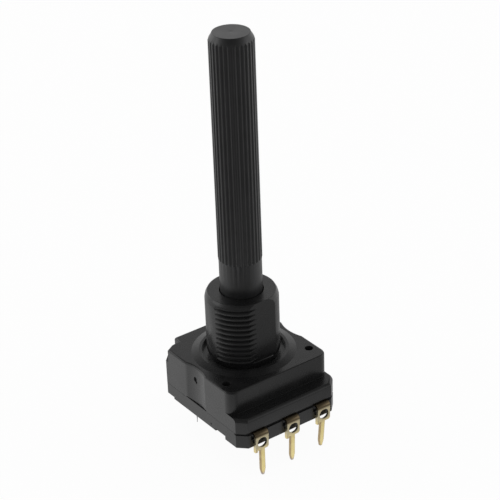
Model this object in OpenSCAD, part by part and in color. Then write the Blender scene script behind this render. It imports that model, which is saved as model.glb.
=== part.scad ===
// Rotary potentiometer with a long knurled shaft, a threaded bushing and three pins.
// The origin is on the shaft axis at the panel face, the top of the collar.
// +Z runs up the shaft and -Y is the side of the terminals.
// Radially the sizes follow each other from the shaft out to the walls, and in
// height from the collar down through the pieces inside to the pins.

/* [Shaft] */
// Diameter over the knurl and of the journal in the bushing
shaft_d = 5.9; // [5.5:0.05:6.2]
// Height of the shaft's end above the panel face
shaft_top = 45.95; // [25:0.05:60]
// Height of the knurl's lower end above the panel face
knurl_foot = 14.1; // [11:0.1:20]
// Number of ribs round the knurl
knurl_ribs = 30; // [18:1:40]
// Depth of the grooves between the ribs
knurl_depth = 0.22; // [0.1:0.01:0.35]
// Share of the pitch that a rib's land takes
rib_land = 0.34; // [0.2:0.01:0.6]
// Width of the chamfer on the shaft's end
tip_chamfer_w = 0.6; // [0.2:0.05:0.8]
// Height of the chamfer on the shaft's end
tip_chamfer_h = 1; // [0.2:0.05:1.4]
// Diameter of the plain neck under the knurl
neck_d = 5.76; // [5.2:0.02:5.8]
// Depth of the gate mark in the shaft's end
gate_depth = 0.12; // [0.05:0.01:0.3]
// Diameter of the gate mark in the shaft's end
gate_d = 0.9; // [0.5:0.1:1.5]
// Depth of the journal's upper end below the bushing's mouth
journal_end = 0.8; // [0.4:0.1:2]
// Diameter of the shoulder that holds the shaft in
shoulder_d = 8.0; // [7:0.1:9]
// Thickness of the shoulder
shoulder_t = 0.8; // [0.5:0.1:1.1]
// Diameter of the tongue that drives the rotor
tongue_d = 3.2; // [2.8:0.1:3.8]
// Width across the flats of the tongue
tongue_flats = 2.4; // [2:0.1:2.8]
// Diameter of the pivot that turns in the base
pivot_d = 2.0; // [1.6:0.1:2.4]
// Length of the pivot inside the base
pivot_depth = 1.0; // [0.6:0.1:1.3]

/* [Bushing] */
// Outer diameter of the threaded bushing
bushing_d = 10.0; // [9:0.1:12]
// Height of the bushing above the panel face
bushing_h = 9.2; // [6:0.1:12]
// Width of the chamfer round the bushing's mouth
lip_w = 0.26; // [0.1:0.02:0.5]
// Height of the chamfer round the bushing's mouth
lip_h = 0.48; // [0.2:0.02:0.8]
// Width of the slight taper below that chamfer
lead_w = 0.12; // [0.04:0.02:0.3]
// Height of the slight taper below that chamfer
lead_h = 0.52; // [0.2:0.02:1]
// Depth of the flat
flat_depth = 0.5; // [0.3:0.05:0.7]
// Height at which the flat and the thread start
flat_foot = 0.3; // [0.1:0.1:2]
// How far the plain foot stands back from the thread
foot_step = 0.2; // [0.2:0.05:0.4]
// Diameter of the collar where it meets the cover
collar_d = 14.3; // [13:0.1:15]
// Height of the collar above the cover
collar_h = 0.3; // [0.1:0.05:0.6]
// Width of the slope round the collar
collar_slope = 0.5; // [0.2:0.05:0.8]
// Width of the relief groove round the bushing's foot
relief_w = 0.7; // [0.4:0.05:0.8]
// Depth of the relief groove below the panel face
relief_depth = 0.6; // [0.4:0.05:0.8]

/* [Inside] */
// Wall of the rotor's hub round the tongue
hub_wall = 0.6; // [0.5:0.05:0.8]
// Height of the hub under the disc
hub_h = 0.8; // [0.6:0.05:0.85]
// Gap under the hub
hub_gap = 0.4; // [0.3:0.05:0.6]
// Gap between the hub and the inner finger
hub_clear = 0.5; // [0.3:0.05:0.8]
// Width of the collector ring
collector_w = 1.1; // [0.9:0.1:1.2]
// Gap between the collector and the track
ring_gap = 1.05; // [0.8:0.05:1.3]
// Width of the carbon track
track_w = 1.4; // [1.2:0.1:1.6]
// Width of the tails that lead from the rings to the rivets
tail_w = 1.0; // [0.6:0.1:1.2]
// Thickness of the printed track and of the collector
film_t = 0.08; // [0.05:0.01:0.1]
// How far the rotor's disc reaches over the track
rotor_rim = 0.3; // [0.2:0.05:0.5]
// Thickness of the rotor's disc
rotor_t = 1.2; // [0.9:0.1:1.5]
// Gap round the rotor's disc
rotor_gap = 0.65; // [0.4:0.05:0.9]
// Mechanical turning angle from stop to stop
turn_angle = 300; // [270:1:310]
// Angle that the rotor's stop lug takes
lug_angle = 28; // [20:1:30]
// Gap between the shaft's shoulder and the stops
lug_clear = 0.7; // [0.4:0.1:1]
// Thickness of the element board
board_t = 1.0; // [0.8:0.1:1.2]
// Thickness of the wiper's spring metal
wiper_t = 0.2; // [0.15:0.01:0.25]
// Width of a wiper finger
finger_w = 0.8; // [0.6:0.05:0.9]
// Length of a finger from its root to the contact
finger_len = 1.7; // [1.4:0.1:2]
// Width of the wiper's plate
plate_w = 1.2; // [1.1:0.1:1.4]
// Diameter of the stakes that hold the wiper
stake_d = 0.6; // [0.5:0.05:0.7]
// Diameter of the stakes' heads
stake_head_d = 1.0; // [0.8:0.05:1.1]

/* [Cover] */
// Thickness of the side walls where the chamber comes nearest
side_wall = 1.15; // [1:0.05:2]
// Thickness of the back wall where the chamber comes nearest
back_wall = 1.35; // [1:0.05:2]
// Thickness of the front wall where the chamber comes nearest
front_wall = 1.05; // [0.8:0.05:1.6]
// How far the shelf stands out in front of the cover
shelf_reach = 2.1; // [1.8:0.1:3]
// Thickness of the shelf
shelf_t = 2.2; // [1.9:0.1:2.8]
// Thickness of the cover's roof
roof_t = 1.3; // [1:0.1:1.6]
// Radius of the cover's upright front corners
corner_r = 0.9; // [0.4:0.1:1.4]
// Chamfer on the front corners of shelf and base
front_chamfer = 1.2; // [0.6:0.1:1.5]
// Chamfer on the back corners
back_chamfer = 1.4; // [0.8:0.1:1.6]
// Width of the scoop in each side wall
scoop_w = 4.6; // [3.5:0.1:5]
// Depth of the scoop in each side wall
scoop_depth = 0.45; // [0.2:0.05:0.5]
// Depth of the nick in the back left corner
nick_depth = 2.0; // [1:0.1:2.5]
// Reach of the nick from the side
nick_x = 2.5; // [1.5:0.1:3]
// Reach of the nick from the back
nick_y = 1.4; // [0.8:0.1:1.6]
// Run of the nick down the side
nick_run = 3.0; // [2.2:0.1:3.4]
// Diameter of the two holes in the top
hole_d = 1.15; // [0.9:0.05:1.3]
// Distance of the two holes from the side faces
hole_edge = 1.3; // [1.1:0.05:1.5]
// Distance of the two holes from the front face
hole_front = 2.6; // [2.2:0.1:3]

/* [Base] */
// Thickness of the base
base_t = 2.05; // [1.8:0.05:3]
// Height of the notches under the side edges
foot_notch = 0.37; // [0.2:0.01:0.6]
// Depth of those notches from the side
foot_notch_w = 0.7; // [0.4:0.1:1]
// Ends of the front notch, in front of the axis
foot_notch_y = [4.3, 6.5];
// Start of the back notch, from the back
foot_notch_back = 2.9; // [2:0.1:4]
// How far the base's front bar reaches below its plate
bar_drop = 0.25; // [0.1:0.05:0.5]
// Height of the open joint between shelf and base in front
joint_gap = 0.25; // [0.1:0.05:0.35]
// Depth of that open joint from the front
joint_gap_depth = 0.3; // [0.1:0.05:0.5]
// Clearance of the notch at each side of a terminal
notch_gap = 0.3; // [0.1:0.05:0.4]
// Depth of the notch at each terminal, front to back
notch_depth = 0.3; // [0.2:0.05:0.6]
// Depth of the pegs' ends below the cover's top
peg_recess = 1.4; // [0.6:0.1:2.5]
// Height of the tongue under each scoop
tongue_h = 0.6; // [0.3:0.1:0.8]
// Thickness of the tongue under each scoop
tongue_t = 0.55; // [0.5:0.05:0.7]

/* [Terminals] */
// Distance from terminal to terminal
pitch = 5.2; // [5:0.05:5.25]
// Width of a terminal's strip and head
strip_w = 2.1; // [2:0.05:2.4]
// Thickness of the terminal metal
strip_t = 0.4; // [0.3:0.05:0.5]
// How far the heads stand in front of the base
head_reach = 0.65; // [0.6:0.05:2]
// How far the heads reach below the base
head_drop = 0.7; // [0.5:0.05:1.5]
// Outer radius of the bend at the top of the heads
bend_r = 0.6; // [0.5:0.05:0.65]
// Rounding of the heads' lower corners
head_r = 0.4; // [0.2:0.05:0.5]
// Height of the eyelet's centre above the head's foot
eyelet_rise = 1.15; // [0.95:0.05:1.2]
// Diameter of the eyelet's hole
eyelet_d = 1.45; // [1:0.05:1.5]
// How far the bent ear reaches back from the head's face
ear_reach = 0.65; // [0.5:0.05:0.7]
// Height of the bent ear
ear_h = 1.6; // [1:0.1:1.8]
// Thickness of the bent ear
ear_t = 0.3; // [0.2:0.02:0.32]
// How far the ear hangs below the head's foot
ear_drop = 0.35; // [0:0.05:0.6]
// Width of a pin
pin_w = 0.76; // [0.6:0.02:1.2]
// Length of the pins below the base
pin_drop = 4.8; // [3:0.05:7]
// Length of the pointed end of a pin
point_len = 0.9; // [0.4:0.1:1.2]
// Width left at a pin's tip
point_w = 0.34; // [0.2:0.02:0.5]
// Distance of the rivets from the base's front
rivet_edge = 2.2; // [2.1:0.05:2.4]
// Diameter of a rivet's shank
rivet_d = 1.2; // [1:0.05:1.3]
// Diameter of a rivet's heads
rivet_head_d = 1.9; // [1.6:0.1:2]
// Thickness of a rivet's heads
rivet_head_t = 0.28; // [0.2:0.02:0.3]

/* [Hidden] */

$fn = 96;
eps = 0.01;         // small overlap that keeps cuts clean
past = 1;           // how far a cut runs past what it cuts
embed = 0.2;        // how far a joined solid reaches into the wall that carries it
run_gap = 0.05;     // radial clearance of a turning fit
slip_gap = 0.03;    // clearance of a push fit
air_gap = 0.1;      // clearance between faces that pass each other
seat_gap = 0.15;    // clearance round the board
contact_gap = 0.12; // gap left under the wiper's contacts
stop_gap = 1.5;     // angle left at each stop

// heights, from the collar down
cover_top = -collar_h;
roof_z = cover_top - roof_t;
shoulder_z = roof_z - air_gap;
disc_z = shoulder_z - shoulder_t;
plate_z = disc_z - rotor_t;
hub_z = plate_z - hub_h;
board_z = hub_z - hub_gap;
contact_z = board_z + film_t + contact_gap;
joint_z = board_z - board_t;
shelf_z = joint_z + shelf_t;
pivot_z = joint_z - pivot_depth;
strip_z = joint_z - strip_t;
base_z = joint_z - base_t;
head_z = base_z - head_drop;
tip_z = base_z - pin_drop;
journal_z = bushing_h - journal_end;

// radii, from the shaft out
shaft_r = shaft_d / 2;
neck_r = neck_d / 2;
thread_r = bushing_d / 2;
hub_r = tongue_d / 2 + hub_wall;
collector_r = hub_r + hub_clear + finger_w / 2;
track_r = collector_r + collector_w / 2 + ring_gap + track_w / 2;
rotor_r = track_r + track_w / 2 + rotor_rim;
chamber_r = rotor_r + rotor_gap;
board_r = chamber_r - seat_gap;
board_hole_r = pivot_d / 2 + hub_clear;
stop_in_r = shoulder_d / 2 + lug_clear;
stop_out_r = rotor_r - rotor_rim;
block_angle = 360 - turn_angle - lug_angle - 2 * stop_gap;

// the body's faces
half_w = chamber_r + side_wall;
body_back = chamber_r + back_wall;
cover_front = chamber_r + front_wall;
shelf_front = cover_front + shelf_reach;
hole_x = half_w - hole_edge;
hole_y = cover_front - hole_front;

// the board's neck and tab, and the pocket over them
tab_edge = 0.4;
pocket_air = 0.24;
neck_half = hole_x - hole_d / 2 - hole_edge;
rivet_y = shelf_front - rivet_edge;
tab_half = pitch + strip_w / 2 + tab_edge;
tab_front = rivet_y + rivet_head_d / 2 + tab_edge / 2;
tab_back = hole_y + hole_d / 2 + tab_edge;
pocket_z = board_z + film_t + rivet_head_t + pocket_air;

// the terminals, of which two pins lean a little and are cut a little shorter
terminal_x = [-pitch, 0, pitch];
pin_lean = [0, 2, 5.5];
pin_shift = [0, -0.15, -0.2];
pin_trim = [0, 0.15, 0.3];
head_front = shelf_front + head_reach;
head_back = head_front - strip_t;
strip_back = rivet_y - rivet_head_d / 2 - seat_gap;
eyelet_z = head_z + eyelet_rise;
pad_r = strip_w / 2 - run_gap;

// the wiper, with its contacts at X = 0
contact_half = 0.2;
toe_run = 0.4;
toe_rise = 0.25;
root_x = -contact_half - finger_len;
plate_x = root_x - 0.4;
stake_x = plate_x - plate_w / 2;
stake_y = [collector_r, track_r - finger_w];
stake_head_t = 0.15;

// Outline of the cover's block, with rounded front corners and chamfered back corners
module cover_outline() {
    c = back_chamfer;
    r = corner_r;
    union() {
        polygon([[-half_w, -cover_front + r], [half_w, -cover_front + r], [half_w, body_back - c],
                 [half_w - c, body_back], [-half_w + c, body_back], [-half_w, body_back - c]]);
        translate([-half_w + r, -cover_front]) square([2 * (half_w - r), 2 * r]);
        for (s = [-1, 1]) translate([s * (half_w - r), -cover_front + r]) circle(r);
    }
}

// Outline of the shelf and the base, chamfered at all four corners
module base_outline() {
    f = front_chamfer;
    b = back_chamfer;
    polygon([[-half_w, -shelf_front + f], [-half_w + f, -shelf_front], [half_w - f, -shelf_front],
             [half_w, -shelf_front + f], [half_w, body_back - b], [half_w - b, body_back],
             [-half_w + b, body_back], [-half_w, body_back - b]]);
}

// Outline of the element board: a disc with a neck and a tab under the shelf
module board_outline(gap = 0) {
    union() {
        circle(board_r + gap);
        translate([-tab_half - gap, -tab_front - gap])
            square([2 * (tab_half + gap), tab_front - tab_back + gap]);
        translate([-neck_half - gap, -tab_front]) square([2 * (neck_half + gap), tab_front]);
    }
}

// A ring sector, centred on the +Y direction
module sector(r_in, r_out, angle, z_low, z_high) {
    rotate([0, 0, 90 - angle / 2])
        rotate_extrude(angle = angle)
            translate([r_in, z_low]) square([r_out - r_in, z_high - z_low]);
}

// A concave scoop down each side wall, over the base's tongue
module scoops() {
    scoop_r = (pow(scoop_w / 2, 2) + pow(scoop_depth, 2)) / (2 * scoop_depth);
    for (s = [-1, 1])
        translate([s * (half_w + scoop_r - scoop_depth), 0, joint_z + tongue_h + air_gap])
            cylinder(r = scoop_r, h = cover_top - joint_z);
}

// The nick at the back left corner of the top
module corner_nick() {
    side = -half_w;
    inner_y = body_back - nick_y;
    translate([0, 0, cover_top - nick_depth])
        linear_extrude(nick_depth + past)
            polygon([[side + nick_x, body_back + past], [side + nick_x, inner_y], [side + nick_x * 0.4, inner_y],
                     [side, body_back - nick_run * 0.66], [side - past, body_back - nick_run],
                     [side - past, body_back + past]]);
}

// Bushing with its plain foot, its rounded mouth and its flat
module bushing() {
    foot_r = thread_r - foot_step;
    difference() {
        rotate_extrude()
            polygon([[0, roof_z], [foot_r, roof_z], [foot_r, flat_foot], [thread_r, flat_foot],
                     [thread_r, bushing_h - lip_h - lead_h], [thread_r - lead_w, bushing_h - lip_h],
                     [thread_r - lead_w - lip_w, bushing_h], [0, bushing_h]]);
        translate([-thread_r, -2 * thread_r + flat_depth, flat_foot])
            cube([2 * thread_r, thread_r, bushing_h]);
    }
}

// Cover moulded in one piece with the collar and the bushing
module housing() {
    color([0.17, 0.17, 0.18])
    difference() {
        union() {
            translate([0, 0, joint_z]) linear_extrude(cover_top - joint_z) cover_outline();
            translate([0, 0, joint_z]) linear_extrude(shelf_z - joint_z) base_outline();
            rotate_extrude()
                polygon([[0, roof_z], [collar_d / 2, roof_z], [collar_d / 2, cover_top],
                         [collar_d / 2 - collar_slope, 0], [0, 0]]);
            bushing();
        }
        // relief groove round the bushing's foot
        rotate_extrude()
            translate([thread_r - foot_step, -relief_depth]) square([relief_w + foot_step, relief_depth + flat_foot / 2]);
        // round chamber and the pocket for the board's tab
        translate([0, 0, joint_z - past]) cylinder(r = chamber_r, h = roof_z - joint_z + past);
        translate([0, 0, joint_z - past]) linear_extrude(pocket_z - joint_z + past) board_outline(seat_gap);
        // bore for the shaft
        translate([0, 0, roof_z - past]) cylinder(r = shaft_r + run_gap, h = bushing_h - roof_z + 2 * past);
        // two holes for the base's pegs
        for (s = [-1, 1])
            translate([s * hole_x, -hole_y, joint_z - past])
                cylinder(d = hole_d, h = cover_top - joint_z + 2 * past, $fn = 32);
        scoops();
        // windows for the base's tongues
        for (s = [-1, 1])
            translate([s > 0 ? half_w - tongue_t - run_gap : -half_w - past, -scoop_w / 2, joint_z - past])
                cube([tongue_t + run_gap + past, scoop_w, past + tongue_h + air_gap]);
        corner_nick();
    }
    // stop block inside the chamber, at the terminal side
    color([0.17, 0.17, 0.18])
        rotate([0, 0, 180]) sector(stop_in_r, chamber_r + embed, block_angle, disc_z + air_gap, roof_z + embed);
}

// Base plate with its front bar, pegs, tongues, terminal notches and grooves
module base() {
    notch_w = strip_w + 2 * notch_gap;
    color([0.2, 0.2, 0.21])
    difference() {
        union() {
            translate([0, 0, base_z]) linear_extrude(base_t) base_outline();
            translate([0, 0, base_z - bar_drop])
                linear_extrude(bar_drop + eps)
                    intersection() {
                        base_outline();
                        translate([-half_w, -shelf_front]) square([2 * half_w, shelf_front - foot_notch_y[1]]);
                    }
            for (s = [-1, 1]) {
                translate([s * hole_x, -hole_y, joint_z - eps])
                    cylinder(d = hole_d - 2 * slip_gap, h = cover_top - peg_recess - joint_z + eps, $fn = 32);
                translate([s > 0 ? half_w - tongue_t : -half_w, -scoop_w / 2 + slip_gap, joint_z - eps])
                    cube([tongue_t, scoop_w - 2 * slip_gap, tongue_h + eps]);
            }
        }
        // open joint under the shelf, along the front and its chamfers
        translate([0, 0, joint_z - joint_gap])
            linear_extrude(joint_gap + past)
                difference() {
                    translate([-half_w - past, -shelf_front - past])
                        square([2 * (half_w + past), past + front_chamfer + joint_gap_depth]);
                    translate([0, joint_gap_depth]) base_outline();
                }
        // pivot hole
        translate([0, 0, pivot_z - air_gap]) cylinder(r = pivot_d / 2 + run_gap, h = pivot_depth + past);
        for (x = terminal_x) {
            // groove for the strip and pocket for the rivet's lower head
            translate([x - strip_w / 2 - slip_gap, -shelf_front - past, strip_z])
                cube([strip_w + 2 * slip_gap, shelf_front + past - strip_back + slip_gap, strip_t + past]);
            translate([x, -rivet_y, strip_z - rivet_head_t - slip_gap])
                cylinder(d = rivet_head_d + 4 * slip_gap, h = past, $fn = 32);
            // notch behind the head
            translate([x - notch_w / 2, -shelf_front - past, base_z - bar_drop - past])
                cube([notch_w, notch_depth + past, base_t + bar_drop + 2 * past]);
        }
        // shallow notches under the side edges
        for (x = [-half_w - past, half_w - foot_notch_w]) {
            translate([x, -foot_notch_y[1], base_z - past])
                cube([foot_notch_w + past, foot_notch_y[1] - foot_notch_y[0], past + foot_notch]);
            translate([x, body_back - foot_notch_back, base_z - past])
                cube([foot_notch_w + past, foot_notch_back + past, past + foot_notch]);
        }
    }
}

// Cross-section of the knurl, one land and one groove for each rib
module knurl_section() {
    step = 360 / knurl_ribs;
    polygon([for (i = [0 : knurl_ribs - 1])
        for (p = [[shaft_r, -rib_land / 2], [shaft_r, rib_land / 2], [shaft_r - knurl_depth, 0.5]])
            [p[0] * cos((i + p[1]) * step), p[0] * sin((i + p[1]) * step)]]);
}

// Moulded shaft with knurl, neck, journal, shoulder, tongue and pivot
module shaft() {
    slope = tip_chamfer_h / tip_chamfer_w;
    color([0.2, 0.2, 0.21])
    union() {
        difference() {
            intersection() {
                translate([0, 0, knurl_foot]) linear_extrude(shaft_top - knurl_foot) knurl_section();
                rotate_extrude()
                    polygon([[0, 0], [shaft_r + past, 0], [shaft_r + past, shaft_top - tip_chamfer_h - past * slope],
                             [shaft_r - tip_chamfer_w, shaft_top], [0, shaft_top]]);
            }
            translate([0, 0, shaft_top - gate_depth]) cylinder(d = gate_d, h = past, $fn = 32);
        }
        translate([0, 0, hub_z])
            intersection() {
                cylinder(d = tongue_d, h = disc_z - hub_z);
                translate([-tongue_d / 2, -tongue_flats / 2, 0]) cube([tongue_d, tongue_flats, disc_z - hub_z]);
            }
        rotate_extrude()
            polygon([[0, pivot_z], [pivot_d / 2, pivot_z], [pivot_d / 2, disc_z - eps], [pivot_d / 2, disc_z],
                     [shoulder_d / 2, disc_z], [shoulder_d / 2, shoulder_z], [shaft_r, shoulder_z],
                     [shaft_r, journal_z], [neck_r, journal_z + (shaft_r - neck_r)],
                     [neck_r, knurl_foot + eps], [0, knurl_foot + eps]]);
    }
}

// Contact carrier, driven by the shaft's tongue
module rotor() {
    socket_h = disc_z - hub_z + 2 * past;
    color([0.82, 0.8, 0.72])
    difference() {
        union() {
            translate([0, 0, plate_z]) cylinder(r = rotor_r, h = rotor_t);
            translate([0, 0, hub_z]) cylinder(r = hub_r, h = hub_h + eps);
            sector(stop_in_r, stop_out_r, lug_angle, disc_z - eps, shoulder_z - air_gap);
            for (y = stake_y) {
                translate([stake_x, y, plate_z - wiper_t]) cylinder(d = stake_d, h = wiper_t + eps, $fn = 24);
                translate([stake_x, y, plate_z - wiper_t - stake_head_t])
                    cylinder(d = stake_head_d, h = stake_head_t, $fn = 24);
            }
        }
        translate([0, 0, hub_z - past])
            intersection() {
                cylinder(r = tongue_d / 2 + slip_gap, h = socket_h);
                translate([-tongue_d, -tongue_flats / 2 - slip_gap, 0])
                    cube([2 * tongue_d, tongue_flats + 2 * slip_gap, socket_h]);
            }
    }
}

// One sprung finger, seen from the side and given its width
module finger(y) {
    t = wiper_t;
    c = contact_half;
    toe_x = c + toe_run;
    toe_z = contact_z + toe_rise;
    translate([0, y + finger_w / 2, 0])
        rotate([90, 0, 0])
            linear_extrude(finger_w)
                polygon([[plate_x - t, plate_z - t], [root_x, plate_z - t], [-c, contact_z], [c, contact_z],
                         [toe_x, toe_z], [toe_x, toe_z + t], [c, contact_z + t], [-c + t / 4, contact_z + t],
                         [root_x + t / 4, plate_z], [plate_x - t, plate_z]]);
}

// Stamped wiper: a plate under the rotor and two fingers
module wiper() {
    color([0.83, 0.62, 0.35])
    difference() {
        intersection() {
            union() {
                translate([plate_x - plate_w, collector_r - finger_w / 2, plate_z - wiper_t])
                    cube([plate_w, track_r - collector_r + finger_w, wiper_t]);
                finger(collector_r);
                finger(track_r);
            }
            translate([0, 0, contact_z - past]) cylinder(r = rotor_r - air_gap, h = plate_z - contact_z + 2 * past);
        }
        for (y = stake_y)
            translate([stake_x, y, plate_z - past]) cylinder(d = stake_d + 2 * slip_gap, h = 2 * past, $fn = 24);
    }
}

// Clearance holes for the rivets' shanks
module rivet_holes(places) {
    for (x = places)
        translate([x, -rivet_y, strip_z - past])
            cylinder(d = rivet_d + 2 * slip_gap, h = board_z + film_t - strip_z + 2 * past, $fn = 32);
}

// Laminate board that carries the track
module element_board() {
    color([0.62, 0.42, 0.22])
    difference() {
        translate([0, 0, joint_z]) linear_extrude(board_t) board_outline();
        translate([0, 0, joint_z - past]) cylinder(r = board_hole_r, h = board_t + 2 * past);
        rivet_holes(terminal_x);
    }
}

// Printed horseshoe of carbon, with a tail to each outer rivet
module carbon_track() {
    end_angle = (360 - turn_angle) / 2;
    end_x = track_r * sin(end_angle);
    end_y = -track_r * cos(end_angle);
    tail = norm([pitch - end_x, -rivet_y - end_y]);
    slope = atan2(-rivet_y - end_y, pitch - end_x);
    color([0.12, 0.12, 0.13])
    difference() {
        union() {
            sector(track_r - track_w / 2, track_r + track_w / 2, turn_angle, board_z, board_z + film_t);
            for (s = [0, 1])
                mirror([s, 0, 0])
                    translate([0, 0, board_z])
                        linear_extrude(film_t) {
                            translate([end_x, end_y]) rotate(slope)
                                translate([-tail_w / 2, -tail_w / 2]) square([tail + tail_w / 2, tail_w]);
                            translate([pitch, -rivet_y]) circle(pad_r);
                        }
        }
        rivet_holes([-pitch, pitch]);
    }
}

// Collector ring with its tail to the middle rivet
module collector() {
    color([0.8, 0.8, 0.82])
    difference() {
        translate([0, 0, board_z])
            linear_extrude(film_t)
                difference() {
                    union() {
                        circle(collector_r + collector_w / 2);
                        translate([-tail_w / 2, -rivet_y]) square([tail_w, rivet_y - collector_r]);
                        translate([0, -rivet_y]) circle(pad_r);
                    }
                    circle(collector_r - collector_w / 2);
                }
        rivet_holes([0]);
    }
}

// Head and pin of a terminal, seen from the front
module terminal_front(shift, lean, trim) {
    half = strip_w / 2;
    r = head_r;
    pin_top = head_z + r;
    pin_len = pin_top - tip_z - trim;
    difference() {
        union() {
            translate([-half, head_z + r]) square([strip_w, joint_z - bend_r - head_z - r]);
            translate([-half + r, head_z]) square([strip_w - 2 * r, 2 * r]);
            for (s = [-1, 1]) translate([s * (half - r), head_z + r]) circle(r, $fn = 32);
            translate([shift, pin_top])
                rotate(-lean)
                    polygon([[-pin_w / 2, 0], [-pin_w / 2, -pin_len + point_len], [-point_w / 2, -pin_len],
                             [point_w / 2, -pin_len], [pin_w / 2, -pin_len + point_len], [pin_w / 2, 0]]);
        }
        translate([0, eyelet_z]) circle(d = eyelet_d, $fn = 48);
    }
}

// Ear that is bent back along the head's left edge, seen from the side
module ear() {
    cut = ear_reach / 3;
    foot = head_z - ear_drop;
    translate([-strip_w / 2, -head_front, 0])
        rotate([90, 0, 90])
            linear_extrude(ear_t)
                polygon([[0, foot + cut], [cut, foot], [ear_reach, foot], [ear_reach, foot + ear_h - cut],
                         [ear_reach - cut, foot + ear_h], [0, foot + ear_h]]);
}

// Stamped terminal: a strip under the board, a bend, an eyelet head, an ear and a pin
module terminal(i) {
    bend_y = head_front - bend_r;
    color([0.83, 0.7, 0.36])
    translate([terminal_x[i], 0, 0])
        difference() {
            union() {
                translate([-strip_w / 2, -bend_y, strip_z])
                    cube([strip_w, bend_y - strip_back, strip_t]);
                translate([-strip_w / 2, -bend_y, joint_z - bend_r])
                    rotate([0, 90, 0]) rotate([0, 0, 180])
                        linear_extrude(strip_w)
                            intersection() {
                                difference() {
                                    circle(bend_r, $fn = 48);
                                    circle(bend_r - strip_t, $fn = 48);
                                }
                                square(2 * bend_r);
                            }
                translate([0, -head_back, 0]) rotate([90, 0, 0])
                    linear_extrude(strip_t) terminal_front(pin_shift[i], pin_lean[i], pin_trim[i]);
                ear();
            }
            translate([-terminal_x[i], 0, 0]) rivet_holes([terminal_x[i]]);
        }
}

// Three rivets that join strip, board and printed pads
module rivets() {
    top = board_z + film_t;
    rim = rivet_head_d / 2;
    slope = rivet_head_t / 2;
    color([0.85, 0.83, 0.78])
    for (x = terminal_x)
        translate([x, -rivet_y, 0])
            rotate_extrude()
                polygon([[0, strip_z - rivet_head_t], [rim - slope, strip_z - rivet_head_t],
                         [rim, strip_z], [rivet_d / 2, strip_z], [rivet_d / 2, top], [rim, top],
                         [rim - slope, top + rivet_head_t], [0, top + rivet_head_t]]);
}

housing();
base();
shaft();
rotor();
wiper();
element_board();
carbon_track();
collector();
terminal(0);  // terminal_left
terminal(1);  // terminal_middle
terminal(2);  // terminal_right
rivets();
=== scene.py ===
import math

import bmesh
import bpy
from mathutils import Matrix, Vector


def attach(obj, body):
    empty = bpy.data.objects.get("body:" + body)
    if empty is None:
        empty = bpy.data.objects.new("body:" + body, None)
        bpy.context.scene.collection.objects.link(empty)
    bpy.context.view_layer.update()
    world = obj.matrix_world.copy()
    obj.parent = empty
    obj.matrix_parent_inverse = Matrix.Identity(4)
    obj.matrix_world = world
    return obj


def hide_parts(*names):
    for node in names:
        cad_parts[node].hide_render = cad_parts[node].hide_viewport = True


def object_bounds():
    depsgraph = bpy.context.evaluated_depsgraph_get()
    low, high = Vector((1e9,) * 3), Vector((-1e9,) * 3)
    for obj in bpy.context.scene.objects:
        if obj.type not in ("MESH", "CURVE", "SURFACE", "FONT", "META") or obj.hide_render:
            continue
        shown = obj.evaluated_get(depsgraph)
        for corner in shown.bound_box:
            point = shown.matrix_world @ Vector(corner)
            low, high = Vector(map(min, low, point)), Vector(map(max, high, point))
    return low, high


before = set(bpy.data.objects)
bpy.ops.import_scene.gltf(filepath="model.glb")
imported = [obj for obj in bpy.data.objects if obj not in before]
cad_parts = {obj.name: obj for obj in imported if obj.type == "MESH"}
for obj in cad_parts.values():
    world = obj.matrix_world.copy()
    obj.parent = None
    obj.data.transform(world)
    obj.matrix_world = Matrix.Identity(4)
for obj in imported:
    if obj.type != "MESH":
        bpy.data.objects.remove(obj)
cad_low, cad_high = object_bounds()
bpy.ops.object.select_all(action="DESELECT")

# Cover: the black block with the shelf, the collar and the threaded bushing.
# Moulded in one shot from glass-filled nylon, with a fine satin skin, softly
# rounded edges and a thread on two arcs, where the two halves of the tool met.
MM = 0.001
MERGE_WITHIN = 0.002 * MM
FLAT_WITHIN = math.radians(0.6)
EDGE_SLOT = 1


def only(ob):
    """Makes ob the one selected and active object."""
    bpy.ops.object.select_all(action="DESELECT")
    ob.select_set(True)
    bpy.context.view_layer.objects.active = ob


def apply(ob, kind, **settings):
    """Adds a modifier with these settings and applies it."""
    only(ob)
    mod = ob.modifiers.new(kind.lower(), kind)
    for key, value in settings.items():
        setattr(mod, key, value)
    bpy.ops.object.modifier_apply(modifier=mod.name)


def merged_copy(node, name, *materials, seam_x=None):
    """A copy of a CAD node, its triangles joined into whole faces, up to a seam at an x in mm."""
    ob = bpy.data.objects.new(name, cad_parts[node].data.copy())
    bpy.context.scene.collection.objects.link(ob)
    ob.data.name = name
    ob.data.materials.clear()
    only(ob)
    if ob.data.has_custom_normals:
        bpy.ops.mesh.customdata_custom_splitnormals_clear()
    bpy.ops.object.mode_set(mode="EDIT")
    bpy.ops.mesh.select_all(action="SELECT")
    bpy.ops.mesh.remove_doubles(threshold=MERGE_WITHIN)
    if seam_x is not None:
        bpy.ops.mesh.bisect(plane_co=(seam_x * MM, 0, 0), plane_no=(1, 0, 0))
        bpy.ops.mesh.mark_seam()
        bpy.ops.mesh.select_all(action="SELECT")
    bpy.ops.mesh.dissolve_limited(angle_limit=FLAT_WITHIN, delimit={"SEAM"})
    bpy.ops.object.mode_set(mode="OBJECT")
    while ob.data.uv_layers:
        ob.data.uv_layers.remove(ob.data.uv_layers[0])
    for mat in materials:
        ob.data.materials.append(mat)
    return ob


def block(centre, size):
    """A box with its middle and its three sides in mm."""
    bpy.ops.mesh.primitive_cube_add(size=MM)
    box = bpy.context.object
    box.data.transform(Matrix.Translation(Vector(centre) * MM) @ Matrix.Diagonal((*size, 1)))
    return box


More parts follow.
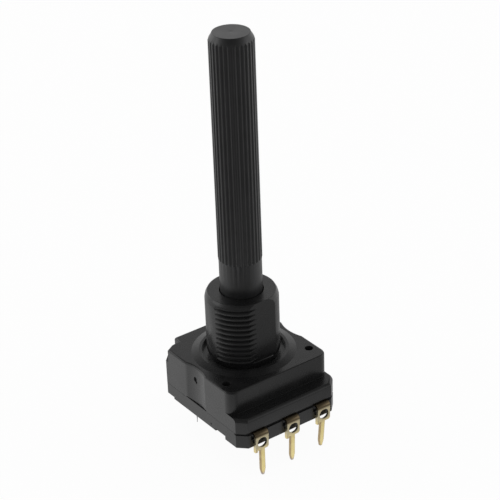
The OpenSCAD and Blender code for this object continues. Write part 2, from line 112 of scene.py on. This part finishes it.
def ball(centre, radius, segments, rings, stretch=(1, 1, 1)):
    """A ball, or an egg where it is stretched, in mm."""
    bpy.ops.mesh.primitive_uv_sphere_add(segments=segments, ring_count=rings, radius=radius * MM)
    egg = bpy.context.object
    egg.data.transform(Matrix.Translation(Vector(centre) * MM) @ Matrix.Diagonal((*stretch, 1)))
    return egg


def cut(ob, cutter, operation="DIFFERENCE"):
    """Cuts ob with the cutter, or joins it on. The cutter is then removed."""
    apply(ob, "BOOLEAN", object=cutter, operation=operation, solver="EXACT")
    bpy.data.objects.remove(cutter, do_unlink=True)


def near(value, target, within=0.02):
    """Whether two measures in mm agree."""
    return abs(value - target) < within


def shift_radially(vertex, share):
    """Moves a vertex to this share of its distance from the shaft's axis, at the same height."""
    vertex.co = (vertex.co.x * share, vertex.co.y * share, vertex.co.z)


def round_edges(ob, chosen, width, segments, from_angle=20):
    """Rounds the convex edges whose middle, in mm, and two face normals pass the test."""
    only(ob)
    bpy.ops.object.mode_set(mode="EDIT")
    bpy.ops.mesh.select_mode(type="EDGE")
    bpy.ops.mesh.select_all(action="DESELECT")
    mesh = bmesh.from_edit_mesh(ob.data)
    for edge in mesh.edges:
        folded = len(edge.link_faces) == 2 and edge.is_convex
        if folded and edge.calc_face_angle() > math.radians(from_angle):
            middle = (edge.verts[0].co + edge.verts[1].co) / 2 / MM
            if chosen(middle, edge.link_faces[0].normal, edge.link_faces[1].normal):
                edge.select_set(True)
    bmesh.update_edit_mesh(ob.data)
    bpy.ops.mesh.bevel(offset=width * MM, segments=segments, affect="EDGES",
                       clamp_overlap=False, material=EDGE_SLOT)
    bpy.ops.object.mode_set(mode="OBJECT")


def soften(ob, width, from_angle=30, segments=2):
    """Breaks the edges that are sharper than an angle, to a width in mm."""
    apply(ob, "BEVEL", width=width * MM, segments=segments, limit_method="ANGLE",
          angle_limit=math.radians(from_angle), material=EDGE_SLOT, use_clamp_overlap=False)


def turned_normals(ob, reach):
    """Turns the normals of turned faces straight away from the axis, within a reach in mm."""
    mesh = ob.data
    normals = [Vector(corner.vector) for corner in mesh.corner_normals]
    for face in mesh.polygons:
        points = [mesh.vertices[i].co.to_2d() for i in face.vertices]
        out = face.center.to_2d()
        side = face.normal.to_2d()
        too_far = max(point.length for point in points) > reach * MM
        lies_flat = side.length < 0.15
        on_axis = out.length < 0.2 * MM
        if too_far or lies_flat or on_axis:
            continue
        out.normalize()
        looks_aside = abs(out.cross(side)) > 0.06
        too_wide = min(out.dot(point.normalized()) for point in points) < 0.99
        if looks_aside or too_wide:
            continue
        for corner in face.loop_indices:
            at = mesh.vertices[mesh.loops[corner].vertex_index].co.to_2d().normalized()
            level = math.copysign(normals[corner].to_2d().length, out.dot(side))
            normals[corner] = Vector((at.x * level, at.y * level, normals[corner].z))
    mesh.normals_split_custom_set(normals)


def place(ob, body, slot, *nodes, turned=0):
    """Holds the piece in the CAD box, shades it, and makes it ride and stand for its nodes."""
    for vertex in ob.data.vertices:
        vertex.co = [max(low, min(high, at))
                     for at, low, high in zip(vertex.co, cad_low, cad_high)]
    only(ob)
    bpy.ops.object.shade_smooth_by_angle(angle=math.radians(32))
    apply(ob, "WEIGHTED_NORMAL", mode="FACE_AREA", weight=85, keep_sharp=True)
    if turned:
        turned_normals(ob, turned)
    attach(ob, body)
    if nodes:
        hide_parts(*nodes)


def feed(tree, socket, value):
    """Links a socket to the value where that is a socket too, and otherwise sets it."""
    if isinstance(value, bpy.types.NodeSocket):
        tree.links.new(value, socket)
    else:
        socket.default_value = value


def shading_node(tree, kind, *first, operation=None, **named):
    """A shader node with its first inputs, in their order, and its named inputs fed."""
    node = tree.nodes.new("ShaderNode" + kind)
    if operation:
        node.operation = operation
    for socket, value in zip(node.inputs, first):
        feed(tree, socket, value)
    for key, value in named.items():
        feed(tree, node.inputs[key.replace("_", " ")], value)
    return node


def maths(tree, operation, *values):
    """The result of a maths node."""
    return shading_node(tree, "Math", *values, operation=operation).outputs[0]


def noise(tree, at, scale, detail, roughness=0.5):
    """Noise from 0 to 1, with so many features to the millimetre."""
    node = shading_node(tree, "TexNoise", Vector=at, Scale=scale, Detail=detail,
                        Roughness=roughness)
    return node.outputs[0]


def remap(tree, value, low, high, to_low, to_high):
    """Maps a value's range to another, held inside it."""
    node = shading_node(tree, "MapRange", Value=value, From_Min=low, From_Max=high,
                        To_Min=to_low, To_Max=to_high)
    return node.outputs[0]


def mix_colour(tree, factor, a, b):
    """Mixes two colours by a factor."""
    node = tree.nodes.new("ShaderNodeMix")
    node.data_type = "RGBA"
    for index, value in ((0, factor), (6, a), (7, b)):
        feed(tree, node.inputs[index], value)
    return node.outputs[2]


def surface_group(name, **inputs):
    """An empty group: a place in mm and these inputs go in, and a surface comes out."""
    group = bpy.data.node_groups.new(name, "ShaderNodeTree")
    given = {"Place": "Vector", **inputs}
    made = {"Colour": "Color", "Roughness": "Float", "Normal": "Vector"}
    for way, sockets in (("INPUT", given), ("OUTPUT", made)):
        for key, kind in sockets.items():
            group.interface.new_socket(key.replace("_", " "), in_out=way,
                                       socket_type="NodeSocket" + kind)
    group_in = group.nodes.new("NodeGroupInput")
    group_out = group.nodes.new("NodeGroupOutput")
    return group, group_in.outputs, group_out.inputs


def new_material(name, group, shader_values, **group_values):
    """A material that wears a group, which gets the place on the piece in mm and its own values."""
    mat = bpy.data.materials.new(name)
    mat.use_nodes = True
    tree = mat.node_tree
    shader = tree.nodes["Principled BSDF"]
    for key, value in shader_values.items():
        shader.inputs[key].default_value = value
    on_piece = tree.nodes.new("ShaderNodeTexCoord").outputs["Object"]
    in_mm = shading_node(tree, "VectorMath", on_piece, operation="SCALE", Scale=1 / MM)
    worn = tree.nodes.new("ShaderNodeGroup")
    worn.node_tree = group
    tree.links.new(in_mm.outputs[0], worn.inputs["Place"])
    for key, value in group_values.items():
        worn.inputs[key.replace("_", " ")].default_value = value
    for key, target in (("Colour", "Base Color"), ("Roughness", "Roughness"), ("Normal", "Normal")):
        tree.links.new(worn.outputs[key], shader.inputs[target])
    return mat


# the skin of a moulded face: grain, shallow flow waves, dust and rubbed places
skin, skin_in, skin_out = surface_group(
    "moulded_skin", Colour="Color", Dust_Colour="Color", Dust="Float", Roughness="Float",
    Spread="Float", Grain="Float")
FLOW_HEIGHT, GRAIN_DEPTH, DUST_ROUGHNESS = 2.0, 0.05 * MM, 0.3
grain = noise(skin, skin_in["Place"], scale=9.0, detail=3.0, roughness=0.6)
flow = noise(skin, skin_in["Place"], scale=0.45, detail=2.0)
specks = noise(skin, skin_in["Place"], scale=3.2, detail=6.0, roughness=0.75)
speck_mask = remap(skin, specks, 0.6, 0.75, 0.0, 1.0)
dust = maths(skin, "MULTIPLY", speck_mask, skin_in["Dust"])
cloud = remap(skin, flow, 0.3, 0.7, 0.85, 1.15)
shade = shading_node(skin, "VectorMath", skin_in["Colour"], operation="SCALE", Scale=cloud)
dusty = mix_colour(skin, dust, shade.outputs[0], skin_in["Dust Colour"])
skin.links.new(dusty, skin_out["Colour"])
wave = remap(skin, flow, 0.3, 0.7, -1.0, 1.0)
rough_shift = maths(skin, "MULTIPLY", wave, skin_in["Spread"])
rough = maths(skin, "ADD", rough_shift, skin_in["Roughness"])
rough_dust = maths(skin, "MULTIPLY_ADD", dust, DUST_ROUGHNESS, rough)
skin.links.new(rough_dust, skin_out["Roughness"])
relief = maths(skin, "MULTIPLY_ADD", flow, FLOW_HEIGHT, grain)
bump = shading_node(skin, "Bump", Strength=skin_in["Grain"], Distance=GRAIN_DEPTH, Height=relief)
skin.links.new(bump.outputs[0], skin_out["Normal"])


def moulded(name, colour, roughness, ior=1.5, grain_depth=0.12, dust_amount=0.06,
            dust_colour=(0.06, 0.06, 0.057, 1)):
    """A moulded plastic that wears the shared skin."""
    return new_material(name, skin, {"IOR": ior}, Colour=colour, Dust_Colour=dust_colour,
                        Dust=dust_amount, Roughness=roughness, Spread=0.04, Grain=grain_depth)


cover_black = moulded("cover_black", (0.0075, 0.0075, 0.0077, 1), 0.27)
cover_edge = moulded("cover_edge_black", (0.0090, 0.0090, 0.0092, 1), 0.3)
cover = merged_copy("housing", "cover", cover_black, cover_edge)
TOP, SHELF_TOP, JOINT = -0.3, -3.7, -5.9
HALF, FRONT, SHELF_FRONT = 8.2, -8.1, -10.2

# each scoop runs down to the joint and grows shallow at its foot
SCOOP_HALF, SCOOP_FOOT, SCOOP_END, SCOOP_FADE = 2.32, -5.2, JOINT + 0.13, 0.38
SLOT_X, SCOOP_X = 7.6, 7.7
for vertex in cover.data.vertices:
    x, y, z = vertex.co / MM
    if abs(x) > SLOT_X and abs(y) < SCOOP_HALF and near(z, SCOOP_FOOT):
        vertex.co.z = SCOOP_END * MM
        if abs(x) > SCOOP_X:
            vertex.co.x = math.copysign(HALF - (HALF - abs(x)) * SCOOP_FADE, x) * MM

# the upright front corners, drawn rounder than the solid's, as the photograph has them
CORNER_FROM, CORNER_TO = 0.9, 1.35
for vertex in cover.data.vertices:
    x, y, z = vertex.co / MM
    arm = Vector((abs(x) - (HALF - CORNER_FROM), y - (FRONT + CORNER_FROM)))
    on_arc = arm.x > -0.02 and arm.y < 0.02 and near(arm.length, CORNER_FROM)
    if on_arc and z > SHELF_TOP - 0.05:
        arm *= CORNER_TO / CORNER_FROM
        vertex.co.x = math.copysign(HALF - CORNER_TO + arm.x, x) * MM
        vertex.co.y = (FRONT + CORNER_TO + arm.y) * MM

# the collar's rim slopes down more gently than the solid's
COLLAR_R, COLLAR_TO, COLLAR_FOOT_R = 6.65, 6.12, 7.15
for vertex in cover.data.vertices:
    r = vertex.co.to_2d().length / MM
    if near(vertex.co.z / MM, 0) and near(r, COLLAR_R):
        shift_radially(vertex, COLLAR_TO / r)

# the foot of the bushing's flat stands a little proud, with a straight front
FLAT_FOOT, FLAT_Y, FLAT_HALF = 0.3, -4.5, 2.2
cut(cover, block(centre=(0, -4.87, -0.15), size=(4.5, 0.5, 0.96)))

PAST_HOLES = 7.55


def on_top_rim(middle, a, b):
    """The edge of the cover's top, but not of the two holes in it."""
    return near(middle.z, TOP) and max(abs(middle.x), abs(middle.y)) > PAST_HOLES


def on_shelf_rim(middle, a, b):
    """The edge of the shelf's top."""
    return near(middle.z, SHELF_TOP) and middle.y < FRONT - 0.05


def on_flat_ledge(middle, a, b):
    """The rim of the step at the foot of the bushing's flat."""
    return near(middle.z, FLAT_FOOT) and middle.y < FLAT_Y - 0.05 and abs(middle.x) < FLAT_HALF


round_edges(cover, on_top_rim, width=0.26, segments=4)
round_edges(cover, on_flat_ledge, width=0.1, segments=3)
round_edges(cover, on_shelf_rim, width=0.5, segments=5)

# thread: one groove on an arc that runs out at both ends, repeated up the bushing,
# with a second set on the far side
THREAD_PITCH = 0.75 * MM
THREAD_R = 5.0 * MM
ROOT_R = 4.6 * MM
OUTSIDE = 0.1 * MM
LIP_HALF = 0.31 * MM
ROOT_HALF = 0.05 * MM
FIRST_GROOVE = 0.72 * MM
GROOVES = 11
ARC, ARC_STEPS, FADE = 84, 21, 12
ARC_STARTS = (188, 8)
RUN_OUT_R = THREAD_R + 0.01 * MM
for start in ARC_STARTS:
    bpy.ops.mesh.primitive_circle_add(vertices=4, radius=1)
    groove = bpy.context.object
    profile = ((ROOT_R, -ROOT_HALF), (THREAD_R + OUTSIDE, -LIP_HALF),
               (THREAD_R + OUTSIDE, LIP_HALF), (ROOT_R, ROOT_HALF))
    for vertex, (r, z) in zip(groove.data.vertices, profile):
        vertex.co = (r, 0, z)
    apply(groove, "SCREW", angle=math.radians(ARC), screw_offset=THREAD_PITCH * ARC / 360,
          steps=ARC_STEPS, render_steps=ARC_STEPS)
    for vertex in groove.data.vertices:
        reach = vertex.co.to_2d().length
        from_end = math.degrees(math.atan2(vertex.co.y, vertex.co.x))
        fade = min(1, (0.5 + min(from_end, ARC - from_end)) / FADE)
        if reach < THREAD_R:
            shift_radially(vertex, (RUN_OUT_R - (RUN_OUT_R - reach) * fade) / reach)
    only(groove)
    bpy.ops.object.mode_set(mode="EDIT")
    bpy.ops.mesh.select_all(action="SELECT")
    bpy.ops.mesh.remove_doubles(threshold=0.001 * MM)
    bpy.ops.mesh.select_all(action="DESELECT")
    bpy.ops.mesh.select_non_manifold()
    bpy.ops.mesh.fill()
    bpy.ops.mesh.select_all(action="SELECT")
    bpy.ops.mesh.normals_make_consistent(inside=False)
    bpy.ops.object.mode_set(mode="OBJECT")
    apply(groove, "ARRAY", count=GROOVES, use_relative_offset=False, use_constant_offset=True,
          constant_offset_displace=(0, 0, THREAD_PITCH))
    rise = FIRST_GROOVE + THREAD_PITCH * ((start - ARC_STARTS[0]) % 360) / 360
    turn = Matrix.Rotation(math.radians(start), 4, "Z")
    groove.data.transform(Matrix.Translation((0, 0, rise)) @ turn)
    cut(cover, groove)

# the sunk mark of the moulding gate in the left scoop, with its short tail
for centre, radius in (((-7.95, 0.44, -2.25), 0.36), ((-7.95, 0.2, -2.6), 0.22)):
    cut(cover, ball(centre, radius, segments=20, rings=12, stretch=(1.3, 0.8, 1.0)))

# the cover's lower front edge stands a hair off the base
cut(cover, block(centre=(0, SHELF_FRONT, JOINT), size=(17, 0.5, 0.34)))
soften(cover, width=0.04)

# the slope of the collar keeps a crisp line above and below, so it reads as a slope
for edge in cover.data.edges:
    ends = [cover.data.vertices[i].co / MM for i in edge.vertices]
    for ring_r, ring_z in ((COLLAR_TO, 0), (COLLAR_FOOT_R, TOP)):
        if all(near(end.z, ring_z) and near(end.to_2d().length, ring_r) for end in ends):
            edge.use_edge_sharp = True
place(cover, "body", "housing", "housing", turned=7.3)

# Base: the plate that closes the cover from below, with pegs in the two holes,
# a tongue under each scoop and a notch for each terminal. Moulded from the same
# nylon in another tool, so it is a touch greyer.
base_black = moulded("base_black", (0.0080, 0.0080, 0.0082, 1), 0.3)
base_edge = moulded("base_edge_black", (0.0095, 0.0095, 0.0098, 1), 0.32)
plate = merged_copy("base", "base_plate", base_black, base_edge)

# the tongues end just above the joint
TONGUE_TOP, TONGUE_END = -5.3, JOINT + 0.06
for vertex in plate.data.vertices:
    x, y, z = vertex.co / MM
    if abs(x) > SLOT_X and abs(y) < SCOOP_HALF and near(z, TONGUE_TOP):
        vertex.co.z = TONGUE_END * MM

# the notches are only as deep as the bends above them: below, the face is whole
PIN_PLACES = {"left": -5.2, "middle": 0, "right": 5.2}
NOTCH_BACK, NOTCH_HALF, FILL_TOP, FILL_OVERLAP = -9.9, 1.35, -6.95, 0.05
BAR_FOOT, BAR_BACK, PLATE_FOOT = -8.2, -9.2, -7.95
for x in PIN_PLACES.values():
    low = Vector((x - NOTCH_HALF - FILL_OVERLAP, SHELF_FRONT, BAR_FOOT))
    high = Vector((x + NOTCH_HALF + FILL_OVERLAP, NOTCH_BACK + 2 * FILL_OVERLAP, FILL_TOP))
    cut(plate, block((low + high) / 2, high - low), "UNION")
only(plate)
bpy.ops.object.mode_set(mode="EDIT")
bpy.ops.mesh.select_all(action="SELECT")
bpy.ops.mesh.dissolve_limited(angle_limit=FLAT_WITHIN)
bpy.ops.object.mode_set(mode="OBJECT")


def on_foot_rim(middle, a, b):
    """The lower edge round the front of the plate."""
    in_front = middle.y < BAR_BACK or abs(middle.x) > HALF - 0.1
    return in_front and middle.z < PLATE_FOOT + 0.05 and min(a.z, b.z) < -0.9


round_edges(plate, on_foot_rim, width=0.16, segments=4)

# a pinhole in the left side, and a whisker of flash under it that thins to its tip
cut(plate, ball((-8.26, -3.37, -7.24), 0.16, segments=16, rings=8))
WHISKER = Vector((-8.13, 0.05, -8.3))
TIP_Y, TIP_SHARE = 0.12, 0.25
whisker = block(WHISKER, size=(0.05, 0.11, 1.1))
for vertex in whisker.data.vertices:
    if vertex.co.z < WHISKER.z * MM:
        vertex.co.y = TIP_Y * MM + (vertex.co.y - WHISKER.y * MM) * TIP_SHARE
cut(plate, whisker, "UNION")
soften(plate, width=0.05)
place(plate, "body", "base", "base")

# Shaft: one long nylon moulding with thirty ribs, a plain neck and a journal
# inside the bushing. Its end shows the small dimple where the tool was filled.
shaft_black = moulded("shaft_black", (0.0092, 0.0093, 0.0098, 1), 0.34, ior=1.6)
shaft_edge = moulded("shaft_edge_black", (0.0102, 0.0103, 0.0108, 1), 0.36, ior=1.6)
spindle = merged_copy("shaft", "knurled_shaft", shaft_black, shaft_edge)

# the gate dimple is a shallow dish, and the end face reaches a little further out
SHAFT_TOP, END_FOOT, END_GROWTH = 45.95, 45.1, 0.1
DIMPLE_R, DIMPLE_SHARE, DISH, INSIDE_R = 0.5, 0.5, 0.03, 1.5
for vertex in spindle.data.vertices:
    r = vertex.co.to_2d().length / MM
    z = vertex.co.z / MM
    if r < DIMPLE_R and SHAFT_TOP - 1 < z < SHAFT_TOP - 0.01:
        shift_radially(vertex, DIMPLE_SHARE)
        vertex.co.z = (SHAFT_TOP - DISH) * MM
    if r > INSIDE_R and z > END_FOOT:
        shift_radially(vertex, 1 + END_GROWTH / r * (z - END_FOOT) / (SHAFT_TOP - END_FOOT))

# the ribs are drawn lower than the solid's, as worn tools leave them
RIB_R, RIB_SHARE, KNURL_FOOT, NECK_R, INSIDE_KNURL_R = 2.95, 0.68, 14.1, 2.88, 2.7
for vertex in spindle.data.vertices:
    r = vertex.co.to_2d().length / MM
    in_groove = INSIDE_KNURL_R < r < RIB_R - 0.01 and not near(r, NECK_R, 0.005)
    if in_groove and vertex.co.z / MM > KNURL_FOOT - 0.01:
        shift_radially(vertex, (RIB_R - (RIB_R - r) * RIB_SHARE) / r)
soften(spindle, width=0.045, from_angle=24, segments=3)
place(spindle, "spindle", "shaft", "shaft", turned=3.2)

# Terminals: three strips stamped from brass with a thin gold-toned plating,
# bent down in front of the base, with an eyelet, an ear and a pointed pin. The
# heads are tarnished below the bend, and the bend is painted dark brown as shade.
# The edge metal is painted a touch paler on the head rims as a highlight, and
# darker down the pin as shade.
plated, plated_in, plated_out = surface_group(
    "plated_strip", Colour="Color", Tarnish="Color", Head="Color", Tip="Color", Bend="Color",
    Head_Share="Float", Roughness="Float")
STREAK_SCALE, RAGGED, STREAK_STRENGTH, STREAK_DEPTH = (14.0, 14.0, 1.2), 0.8, 0.25, 0.01 * MM
blotch = noise(plated, plated_in["Place"], scale=1.6, detail=4.0, roughness=0.6)
streak_place = shading_node(plated, "Mapping", Vector=plated_in["Place"], Scale=STREAK_SCALE)
streak = noise(plated, streak_place.outputs[0], scale=1.0, detail=2.0)
blotch_mask = remap(plated, blotch, 0.4, 0.72, 0.0, 1.0)
tarnish_and_shade = mix_colour(plated, blotch_mask, plated_in["Colour"], plated_in["Tarnish"])

# down the strip, by height in mm, come the bend in painted shade, the head with a ragged end, and
# the tip
strip_z = shading_node(plated, "SeparateXYZ", Vector=plated_in["Place"]).outputs["Z"]
ragged_z = maths(plated, "MULTIPLY_ADD", blotch, RAGGED, strip_z)
for stretch, at, low, high, at_low, at_high in (("Head", ragged_z, -8.5, -7.6, 0.0, 1.0),
                                                ("Tip", ragged_z, -12.2, -11.75, 1.0, 0.0),
                                                ("Bend", strip_z, -6.7, -6.42, 0.0, 0.9)):
    reached = remap(plated, at, low, high, at_low, at_high)
    mask = maths(plated, "MULTIPLY", reached, plated_in["Head Share"])
    tarnish_and_shade = mix_colour(plated, mask, tarnish_and_shade, plated_in[stretch])
plated.links.new(tarnish_and_shade, plated_out["Colour"])
streak_mask = remap(plated, streak, 0.3, 0.7, -0.06, 0.08)
rough_metal = maths(plated, "ADD", streak_mask, plated_in["Roughness"])
plated.links.new(rough_metal, plated_out["Roughness"])
metal_bump = shading_node(plated, "Bump", Strength=STREAK_STRENGTH, Distance=STREAK_DEPTH,
                          Height=streak)
plated.links.new(metal_bump.outputs[0], plated_out["Normal"])


def stamped(name, colour, tarnish, roughness, **by_height):
    """A plated metal with the shared streaks and blotches, and a pin's colours by height, the
    bend's painted shade among them.
    """
    return new_material(name, plated, {"Metallic": 1.0}, Colour=colour, Tarnish=tarnish,
                        Roughness=roughness, **by_height)


# the bend is painted dark brown as shade, where it lies in shadow under the shelf
BEND_PAINTED_SHADE = (0.1, 0.07, 0.04, 1)
pin_gold = stamped("pin_gold", (0.94, 0.80, 0.39, 1), (0.86, 0.70, 0.30, 1), 0.33,
                   Head=(0.62, 0.54, 0.35, 1), Tip=(0.56, 0.47, 0.42, 1), Bend=BEND_PAINTED_SHADE,
                   Head_Share=1.0)
# the edge metal is painted: darker down the pin as shade, a touch paler on the head rims as a
# highlight
pin_edge_shade_highlight = stamped("pin_edge_gold_shade_highlight", (0.56, 0.44, 0.25, 1), (0.42, 0.31, 0.18, 1), 0.4,
                   Head=(0.60, 0.55, 0.38, 1), Tip=(0.5, 0.44, 0.42, 1), Bend=BEND_PAINTED_SHADE,
                   Head_Share=1.0)
BEND_FOOT = -6.8


def on_punched_rim(middle, a, b):
    """The front rim of a head and of its eyelet."""
    return min(a.y, b.y) < -0.95 and middle.z < BEND_FOOT


EYELET_Z, EYELET_R, TORN_R, STRIP_BACK, PIN_TOP = -7.5, 0.725, 0.8, -10.45, -8.7
for side, eyelet_x in PIN_PLACES.items():
    pin = merged_copy("terminal_" + side, "eyelet_pin_" + side, pin_gold, pin_edge_shade_highlight,
                      seam_x=eyelet_x)

    # the punched hole is torn a little wider behind
    for vertex in pin.data.vertices:
        x, y, z = vertex.co / MM
        arm = Vector((x - eyelet_x, z - EYELET_Z))
        if near(y, STRIP_BACK) and arm.length < EYELET_R + 0.02:
            arm *= TORN_R / EYELET_R
            vertex.co = ((eyelet_x + arm.x) * MM, vertex.co.y, (EYELET_Z + arm.y) * MM)

    # the sheared sides of the pin take the edge metal, painted darker as shade
    for face in pin.data.polygons:
        if abs(face.normal.x) > 0.9 and face.center.z < PIN_TOP * MM:
            face.material_index = EDGE_SLOT
    round_edges(pin, on_punched_rim, width=0.09, segments=3)
    soften(pin, width=0.03)
    place(pin, "body", "terminal", "terminal_" + side)

# Inner pieces: the contact carrier, the sprung wiper, the laminate board with
# its printed track and collector, and the rivets. The closed body hides them.
carrier_white = moulded("carrier_white", (0.62, 0.58, 0.48, 1), 0.45, dust_amount=0.05,
                        dust_colour=(0.4, 0.38, 0.3, 1))
laminate = moulded("laminate_brown", (0.22, 0.11, 0.045, 1), 0.55, grain_depth=0.4,
                   dust_amount=0.3, dust_colour=(0.34, 0.2, 0.1, 1))
carbon = moulded("carbon_print", (0.012, 0.012, 0.013, 1), 0.5, grain_depth=0.5,
                 dust_colour=(0.05, 0.05, 0.05, 1))
wiper_metal = stamped("wiper_spring", (0.72, 0.45, 0.22, 1), (0.5, 0.3, 0.14, 1), 0.25)
silver = stamped("silver_print", (0.7, 0.7, 0.7, 1), (0.5, 0.5, 0.48, 1), 0.45)
tin = stamped("rivet_tin", (0.7, 0.66, 0.55, 1), (0.5, 0.46, 0.38, 1), 0.35)
for node, mat in (("rotor", carrier_white), ("element_board", laminate), ("carbon_track", carbon),
                  ("wiper", wiper_metal), ("collector", silver), ("rivets", tin)):
    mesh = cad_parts[node].data
    mesh.materials.clear()
    mesh.materials.append(mat)

# Floor: a pale sheet that the pins stand on. The camera sees it white with a
# share of its own shading, which keeps the shadow. The gloss sees painted light
# instead: a glow with a ring of painted shade 30 mm out, a painted pool of light
# on the left, and painted shade that fades it across the sheet to the front.
WHITE = (1, 1, 1, 1)


def falloff(tree, distance, *stops):
    """The strengths given at some distances, in mm up to 100, and all between them."""
    reach = remap(tree, distance, 0.0, 100 * MM, 0.0, 1.0)
    ramp = shading_node(tree, "ValToRGB", reach)
    points = ramp.color_ramp.elements
    while len(points) < len(stops):
        points.new(0.5)
    for point, (at, strength) in zip(points, stops):
        point.position = at / 100
        point.color = (strength, strength, strength, 1)
    return ramp.outputs[0]


def along(tree, vector, direction):
    """How far a vector reaches in a direction."""
    node = shading_node(tree, "VectorMath", vector, direction, operation="DOT_PRODUCT")
    return node.outputs["Value"]


def by_ray(tree, shader, *others):
    """Mixes in another shader, by a share, for each kind of ray that is named."""
    path = tree.nodes.new("ShaderNodeLightPath")
    for ray, share, other in others:
        amount = maths(tree, "MULTIPLY", path.outputs[ray], share)
        shader = shading_node(tree, "MixShader", amount, shader, other).outputs[0]
    return shader


FLOOR_Z = -0.0128
bpy.ops.mesh.primitive_plane_add(size=4, location=(0, 0, FLOOR_Z))
floor = bpy.context.object
floor.name = "floor"
paper = bpy.data.materials.new("white_paper")
paper.use_nodes = True
tree = paper.node_tree
tree.nodes.clear()
out = tree.nodes.new("ShaderNodeOutputMaterial")
on_sheet = tree.nodes.new("ShaderNodeTexCoord").outputs["Object"]
LEFT = (-1, 0, 0)
FRONT_LEFT = (-0.58, -0.815, 0)
spread_out = shading_node(tree, "VectorMath", on_sheet, operation="LENGTH").outputs["Value"]
# painted light for the gloss: a ring of painted shade round the part, a painted pool of light on
# the left, and painted shade towards the front
all_round = falloff(tree, spread_out, (12, 0.8), (20, 0.6), (30, 0.40), (40, 0.44),
                    (50, 0.60), (100, 0.85))
on_left = falloff(tree, spread_out, (12, 0.14), (20, 0.32), (27, 0.6), (45, 0.1), (60, 0.0))
left_share = remap(tree, along(tree, on_sheet, LEFT), 6 * MM, 14 * MM, 0.0, 1.0)
painted_sheet_light = maths(tree, "MULTIPLY_ADD", on_left, left_share, all_round)
front_fade = remap(tree, along(tree, on_sheet, FRONT_LEFT), 15 * MM, 50 * MM, 1.0, 0.22)
glow = maths(tree, "MULTIPLY", painted_sheet_light, front_fade)
matt = shading_node(tree, "BsdfDiffuse", Color=(0.9, 0.9, 0.9, 1)).outputs[0]
gloss_glow = shading_node(tree, "Emission", Color=WHITE, Strength=glow).outputs[0]
camera_glow = shading_node(tree, "Emission", Color=WHITE, Strength=1.0).outputs[0]
sheet = by_ray(tree, matt, ("Is Glossy Ray", 1.0, gloss_glow), ("Is Camera Ray", 0.95, camera_glow))
tree.links.new(sheet, out.inputs["Surface"])
floor.data.materials.append(paper)

# Studio: white to the camera all round. The gloss sees a white wall at the back
# and the left, that darkens overhead and towards the room in front. Soft lamps
# stand low at the back left, behind, and in front on the right.
world = bpy.data.worlds.new("studio")
bpy.context.scene.world = world
world.use_nodes = True
tree = world.node_tree
tree.nodes.clear()
out = tree.nodes.new("ShaderNodeOutputWorld")
direction = tree.nodes.new("ShaderNodeTexCoord").outputs["Generated"]
overhead = shading_node(tree, "SeparateXYZ", Vector=direction).outputs["Z"]
wall = remap(tree, overhead, 0.34, 0.75, 0.9, 0.17)
room = remap(tree, along(tree, direction, FRONT_LEFT), 0.15, 0.75, 1.0, 0.25)
surround = maths(tree, "MULTIPLY", wall, room)
gloss_sky = shading_node(tree, "Background", Color=WHITE, Strength=surround).outputs[0]
camera_sky = shading_node(tree, "Background", Color=WHITE, Strength=1.0).outputs[0]
fill = shading_node(tree, "Background", Color=WHITE, Strength=0.75).outputs[0]
sky = by_ray(tree, fill, ("Is Glossy Ray", 1.0, gloss_sky),
             ("Is Transmission Ray", 1.0, camera_sky), ("Is Camera Ray", 1.0, camera_sky))
tree.links.new(sky, out.inputs["Surface"])
LAMP_AIM = Vector((0, 0, 0.01))


def softbox(name, position, size, watts):
    """A square area lamp that looks at the foot of the shaft."""
    bpy.ops.object.light_add(type="AREA", location=position)
    lamp = bpy.context.object
    lamp.name = name
    lamp.data.shape = "SQUARE"
    lamp.data.size = size
    lamp.data.energy = watts
    lamp.rotation_mode = "QUATERNION"
    lamp.rotation_quaternion = (LAMP_AIM - Vector(position)).to_track_quat("-Z", "Y")


softbox("lamp_left", (-1.0, 0.6, 0.38), size=0.6, watts=1.0)
softbox("lamp_back", (-0.35, 1.1, 0.5), size=0.6, watts=1.0)
softbox("lamp_right", (0.9, -0.75, 0.25), size=0.4, watts=0.4)

# Camera: placed where the silhouettes in the photograph put it, a long lens
# that looks down at the front left corner.
camera = bpy.data.objects.new("camera", bpy.data.cameras.new("camera"))
bpy.context.scene.collection.objects.link(camera)
bpy.context.scene.camera = camera
camera.data.sensor_width = 36
camera.data.lens = 130.04
camera.data.clip_start = 0.01
camera.data.clip_end = 20
EYE = Vector((-119.58, -170.42, 130.51))
right = Vector((0.8037, -0.59412, -0.03293)).normalized()
forward = Vector((0.50684, 0.71253, -0.4852)).normalized()
up = right.cross(forward).normalized()
right = forward.cross(up)
turn = Matrix((right, up, -forward)).transposed()
camera.matrix_world = Matrix.Translation(EYE * MM) @ turn.to_4x4()
bpy.context.scene.view_settings.view_transform = "Standard"
